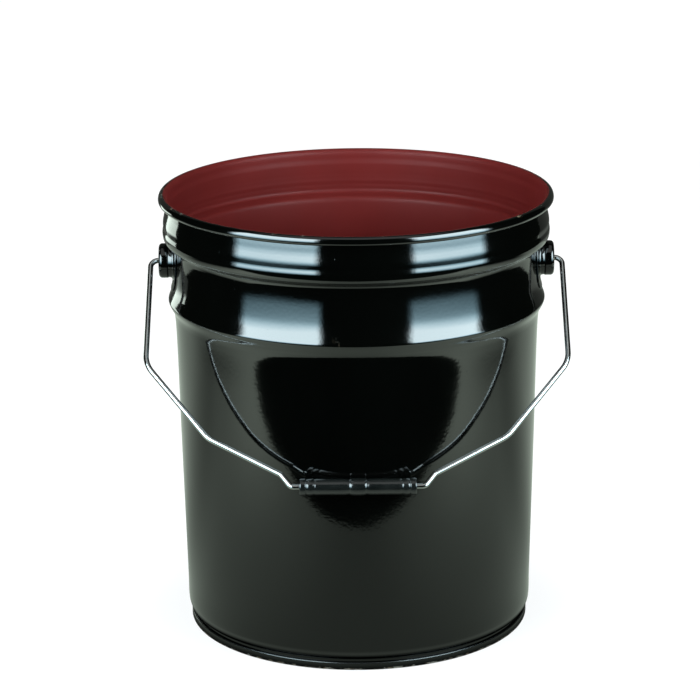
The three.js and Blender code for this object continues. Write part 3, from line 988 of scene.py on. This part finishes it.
def floor_material():
    """White paper: its glow is turned down close to the foot of the pail as a painted contact shadow, and its diffuse
    part takes the soft shadow.
    """
    g = Glow("floor_white", (1, 1, 1))
    r = g.math("SQRT", g.math("ADD", g.math("MULTIPLY", g.x, g.x), g.math("MULTIPLY", g.y, g.y)))
    # painted shadow: the glow is lower close to the foot of the pail
    g.strength(g.step(r, 0.125, 0.24, FLOOR_PAINTED_SHADE, FLOOR_FAR))
    add = g.t.nodes.new("ShaderNodeAddShader")
    d = g.t.nodes.new("ShaderNodeBsdfDiffuse")
    d.inputs[0].default_value = (0.10, 0.10, 0.10, 1)
    g.t.links.new(g.e.outputs[0], add.inputs[0])
    g.t.links.new(d.outputs[0], add.inputs[1])
    g.t.links.new(add.outputs[0], g.out.inputs[0])
    return g.mat


FLOOR_PAINTED_SHADE, FLOOR_FAR = 0.84, 1.02
floor = plane("floor", (40, 40), Matrix.Translation((0, 0, -0.0004)), floor_material())
floor.visible_glossy = False


def sweep_floor():
    """A glowing card that only the gloss sees, painted as the lit paper: a painted pool of light beside each lamp, dim
    in the middle and at the sides, and a painted shadow close to the foot of the pail.
    """
    g = Glow("sweep_floor_glow", (0.88, 1.03, 0.88))
    ax = g.math("ABSOLUTE", g.x)
    dx, dy = g.math("SUBTRACT", ax, 0.62), g.math("ADD", g.y, 0.38)
    q = g.math("ADD", g.math("MULTIPLY", dx, dx), g.math("MULTIPLY", dy, dy))
    near_light = g.math("MULTIPLY", g.math("EXPONENT", g.math("MULTIPLY", q, -1 / 0.28**2)), 1.25)
    back = g.step(g.y, 0.14, 0.42, 0.0, 0.25)
    side = g.math("MAXIMUM", g.step(ax, 0.70, 0.88, 1.0, 0.0), g.math("MULTIPLY", back, 1 / 0.25))
    middle = g.math("MULTIPLY", g.step(ax, 0.03, 0.22, 0.0, 0.13), g.step(g.y, 0.0, 0.14, 1.0, 0.0))
    level = g.math("ADD", g.math("ADD", near_light, back), g.math("ADD", middle, 0.41))
    # painted shadow: the glow falls to a tenth close to the foot of the pail
    r = g.math("SQRT", g.math("ADD", g.math("MULTIPLY", g.x, g.x), g.math("MULTIPLY", g.y, g.y)))
    return g.strength(g.math("MULTIPLY", g.math("MULTIPLY", level, side), g.step(r, 0.132, 0.147, 0.10, 1.0)))


FRONT = [(-0.9, -0.30), (-0.65, -0.352), (-0.386, -0.416), (-0.19, -0.420), (0, -0.421), (0.19, -0.420), (0.386, -0.416), (0.65, -0.352), (0.9, -0.30)]
card("sweep_floor", [(x, y, 0) for x, y in FRONT] + [(0.98, 0.9, 0), (-0.98, 0.9, 0)], sweep_floor(), glossy=True)
wall_glow = Glow("sweep_wall_glow", (0.92, 1.02, 0.91))
card("sweep_wall", [(-0.98, 0.9, 0), (0.98, 0.9, 0), (0.98, 0.9, 2.2), (-0.98, 0.9, 2.2)],
     wall_glow.strength(wall_glow.step(wall_glow.z, 0.0, 0.12, 0.30, 0.08)), glossy=True)


def softbox(name, azimuth, distance, inner, outer, low, high, strength, tint):
    """An upright light, dim at its foot; azimuth 0 is in front of the pail, positive to its right.
    inner and outer are its edges, measured along it from the point nearest the pail."""
    a = azimuth * DEG
    side = 1 if azimuth > 0 else -1
    c = Vector((math.sin(a) * distance, -math.cos(a) * distance, 0))
    along = Vector((math.cos(a), math.sin(a), 0)) * side
    g = Glow(name + "_glow", tint)
    s = g.math("ADD", g.math("MULTIPLY", g.x, along.x), g.math("MULTIPLY", g.y, along.y))
    rise = g.step(g.z, low - 0.02, low + 0.34, 0.0, 1.0)
    edge = g.math("MULTIPLY", g.step(s, -inner, -inner + 0.07, 0.10, 1.0), g.step(s, outer - 0.08, outer, 1.0, 0.10))
    top = g.step(g.z, high - 0.10, high, 1.0, 0.35)
    mat = g.strength(g.math("MULTIPLY", g.math("MULTIPLY", g.math("MULTIPLY", rise, top), edge), strength))
    shade = g.t.nodes.new("ShaderNodeMix")
    shade.data_type = "RGBA"
    g.t.links.new(g.step(g.z, low, low + 0.34), shade.inputs[0])
    shade.inputs[6].default_value = (0.58, 1.02, 1.22, 1)
    shade.inputs[7].default_value = (*tint, 1)
    g.t.links.new(shade.outputs[2], g.e.inputs[0])
    p, q = c - along * inner, c + along * outer
    ob = card(name, [(p.x, p.y, low), (q.x, q.y, low), (q.x, q.y, high), (p.x, p.y, high)], mat, glossy=True, diffuse=True)
    return ob


softbox("softbox_left", -50, 0.74, 0.445, 0.272, 0.135, 0.90, 20.0, (0.78, 0.96, 1.02))
softbox("softbox_right", 57.5, 0.74, 0.41, 0.238, 0.135, 0.90, 20.0, (0.78, 0.96, 1.02))

over_glow = Glow("overhead_glow", (0.97, 1.0, 0.98))
card("overhead", [(-1, -1.5, 2.0), (1, -1.5, 2.0), (1, 0.4, 2.0), (-1, 0.4, 2.0)], over_glow.strength(over_glow.step(over_glow.y, -1.5, 0.4, 1.0, 0.7)), glossy=True, diffuse=True)


back_glow = Glow("back_light_glow", (0.90, 1.04, 0.94))
card("back_light_left", [(-1.15, 0.86, 0.0), (-0.60, 0.86, 0.0), (-0.60, 0.86, 0.22), (-1.15, 0.86, 0.22)],
     back_glow.strength(back_glow.step(back_glow.z, 0.03, 0.13, 0.15, 3.4)), glossy=True)


def world():
    w = bpy.data.worlds.new("studio")
    bpy.context.scene.world = w
    w.use_nodes = True
    t = w.node_tree
    t.nodes.clear()
    out = t.nodes.new("ShaderNodeOutputWorld")
    bg = t.nodes.new("ShaderNodeBackground")
    lp = t.nodes.new("ShaderNodeLightPath")
    mix = t.nodes.new("ShaderNodeMix")
    mix.data_type = "RGBA"
    t.links.new(lp.outputs["Is Camera Ray"], mix.inputs[0])
    mix.inputs[6].default_value = (0.007, 0.009, 0.007, 1)
    mix.inputs[7].default_value = (1.0, 1.0, 1.0, 1)
    t.links.new(mix.outputs[2], bg.inputs[0])
    bg.inputs[1].default_value = 1.0
    t.links.new(bg.outputs[0], out.inputs[0])


world()
